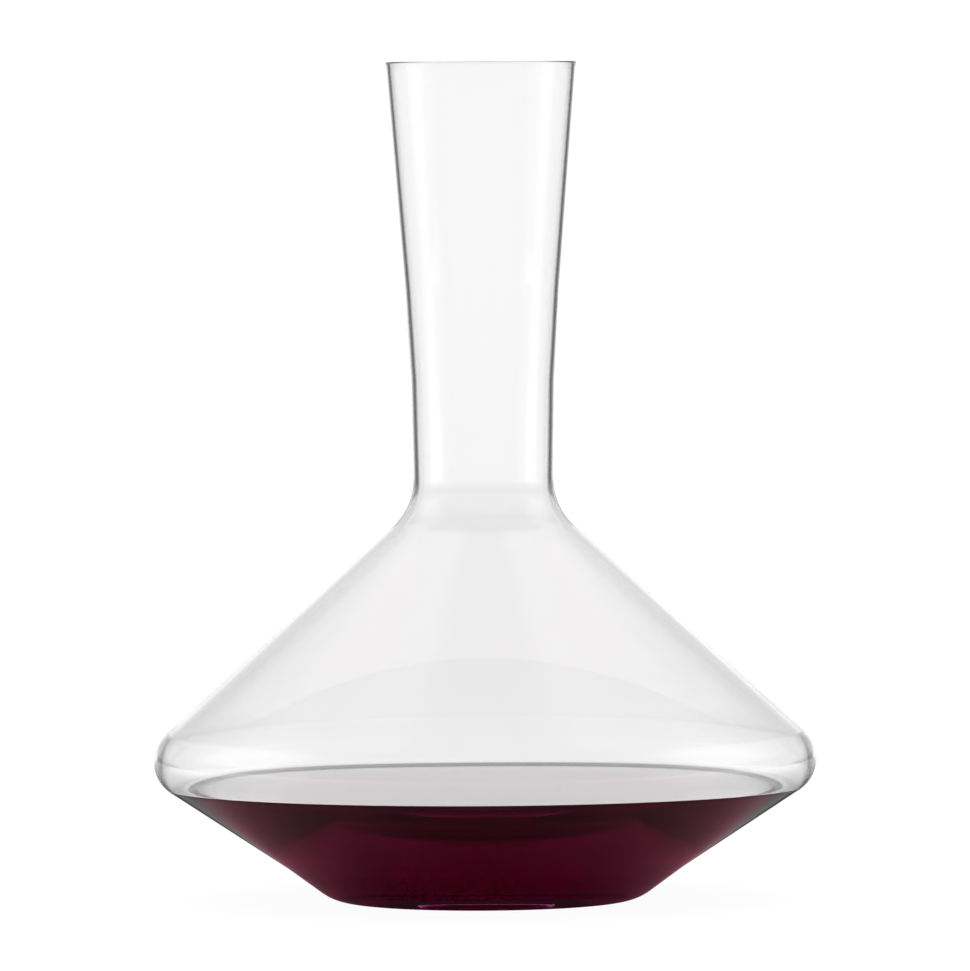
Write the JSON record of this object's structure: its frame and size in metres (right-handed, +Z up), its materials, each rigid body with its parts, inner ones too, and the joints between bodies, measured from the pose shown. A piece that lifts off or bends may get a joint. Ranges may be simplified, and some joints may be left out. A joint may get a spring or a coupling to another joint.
{
  "type": "wine decanter",
  "caption": "Clear glass decanter with a long open neck, a cone-shaped shoulder, a wide belly tapering to a small foot, and red wine standing in its base.",
  "frame": {"origin": "centre of the foot, on the plane that the decanter stands on", "axes": "+Z up along the axis of revolution, from the foot to the rim; X and Y are any two level directions, because the shape is turned"},
  "size_m": [0.2086, 0.2086, 0.264],
  "materials": {
    "clear_glass": "clear colourless blown glass, polished, with a fire-polished rim",
    "red_wine": "dark red wine, transparent in a thin layer and nearly black in depth, with a still glossy surface"
  },
  "bodies": {
    "root": {"decanter_glass": "clear_glass", "wine": "red_wine"}
  },
  "joints": []
}
